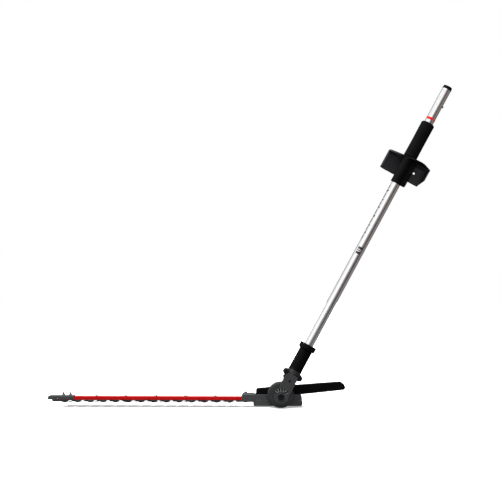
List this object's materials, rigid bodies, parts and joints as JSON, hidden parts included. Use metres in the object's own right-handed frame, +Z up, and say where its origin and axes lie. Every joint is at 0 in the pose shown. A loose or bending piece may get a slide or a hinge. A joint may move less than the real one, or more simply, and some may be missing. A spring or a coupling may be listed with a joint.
{
  "type": "pole hedge trimmer attachment",
  "caption": "Articulating hedge trimmer head on a straight split-shaft pole, with twin reciprocating blades, foam grip, branch guard and sliding angle lock.",
  "frame": {"origin": "centre of the tube's power-head end, on the tube's axis", "axes": "+Z up, -X along the blades, +Y from the pole's plane towards the blades' plane; the tube rises at 61.6 degrees above the blade line"},
  "size_m": [1.1104, 0.1055, 0.8847],
  "materials": {
    "cast_grey": "satin dark grey paint on a die casting",
    "black_plastic": "moulded black plastic with a fine grain",
    "black_steel": "black oxide",
    "aluminium_tube": "drawn tube, satin anodised",
    "steel": "bright zinc plate",
    "blade_steel": "ground steel with a thin film of oil",
    "bronze": "sintered",
    "red_paint": "gloss red powder coat",
    "red_mark": "gloss",
    "foam": "closed-cell foam, matt",
    "label": "printed film"
  },
  "bodies": {
    "pole": {"arm_case_near": "cast_grey", "arm_case_far": "cast_grey", "tube_end_cap": "black_plastic", "shaft_bearing_1": "black_plastic", "shaft_bearing_2": "black_plastic", "shaft_bearing_3": "black_plastic", "guard_shield": "black_plastic", "guard_clamp_cap": "black_plastic", "guard_screw_1": "black_steel", "guard_screw_2": "black_steel", "clamp_bolt_left": "black_steel", "clamp_bolt_right": "black_steel", "cover_screw": "black_steel", "shaft_tube": "aluminium_tube", "latch_spring": "steel", "collar_spring": "steel", "spring_stop_ring": "steel", "pinion_bearing": "bronze", "depth_mark_band": "red_mark", "foam_grip": "foam", "pole_label": "label"},
    "drive_line": {"drive_shaft": "steel", "drive_pinion": "steel"},
    "lock": {"lock_collar": "black_plastic", "lock_pin": "steel"},
    "button": {"latch_button": "black_steel"},
    "head": {"gearcase_upper": "cast_grey", "gearcase_lower": "cast_grey", "case_screw_1": "black_steel", "case_screw_2": "black_steel", "crank_bearing": "bronze", "rear_handle": "black_plastic", "blade_support_bar": "red_paint", "tip_guard": "cast_grey", "root_bolt": "black_steel", "root_nut": "steel", "pivot_bolt": "black_steel", "pivot_nut": "steel", "detent_plate": "steel", "tip_bolt_1": "black_steel", "tip_bolt_2": "black_steel", "tip_nut_1": "steel", "tip_nut_2": "steel", "bar_bolt_1": "steel", "bar_bolt_2": "steel", "bar_bolt_3": "steel", "bar_bolt_4": "steel", "bar_bolt_5": "steel", "dome_nut_1": "steel", "dome_nut_2": "steel", "dome_nut_3": "steel", "dome_nut_4": "steel", "dome_nut_5": "steel"},
    "transfer": {"transfer_gear": "steel", "transfer_shaft": "steel"},
    "crank": {"crank_gear": "steel"},
    "upper_cutter": {"upper_blade": "blade_steel"},
    "lower_cutter": {"lower_blade": "blade_steel"}
  },
  "joints": [
    {"name": "head_articulation", "type": "hinge", "parent": "pole", "child": "head", "pos_m": [-0.45898, 0, -0.84886], "axis": [0, 1, 0], "range_deg": [-82, 61.5]},
    {"name": "drive_spin", "type": "hinge", "parent": "pole", "child": "drive_line", "pos_m": [-0.45898, 0, -0.84886], "axis": [0.4756, 0, 0.8796], "continuous": true},
    {"name": "transfer_spin", "type": "hinge", "parent": "head", "child": "transfer", "pos_m": [-0.45898, 0, -0.84886], "axis": [0, 1, 0], "continuous": true},
    {"name": "crank_spin", "type": "hinge", "parent": "head", "child": "crank", "pos_m": [-0.45898, 0.0385, -0.86086], "axis": [0, 0, 1], "continuous": true},
    {"name": "collar_slide", "type": "slide", "parent": "pole", "child": "lock", "axis": [0.4756, 0, 0.8796], "range_m": [0, 0.01], "stiffness_N_per_m": 1500, "springref_m": -0.006, "deforming": ["collar_spring"]},
    {"name": "button_press", "type": "slide", "parent": "pole", "child": "button", "axis": [-0.8796, 0, 0.4756], "range_m": [0, 0.003], "stiffness_N_per_m": 1200, "springref_m": -0.002, "deforming": ["latch_spring"]},
    {"name": "upper_blade_slide", "type": "slide", "parent": "head", "child": "upper_cutter", "axis": [1, 0, 0], "range_m": [-0.008, 0.008]},
    {"name": "lower_blade_slide", "type": "slide", "parent": "head", "child": "lower_cutter", "axis": [1, 0, 0], "range_m": [-0.008, 0.008]}
  ],
  "couplings": [
    {"joint": "transfer_spin", "follows": "drive_spin", "ratio": -0.5556},
    {"joint": "crank_spin", "follows": "drive_spin", "ratio": 0.3333},
    {"joint": "lower_blade_slide", "follows": "upper_blade_slide", "ratio": -1}
  ]
}
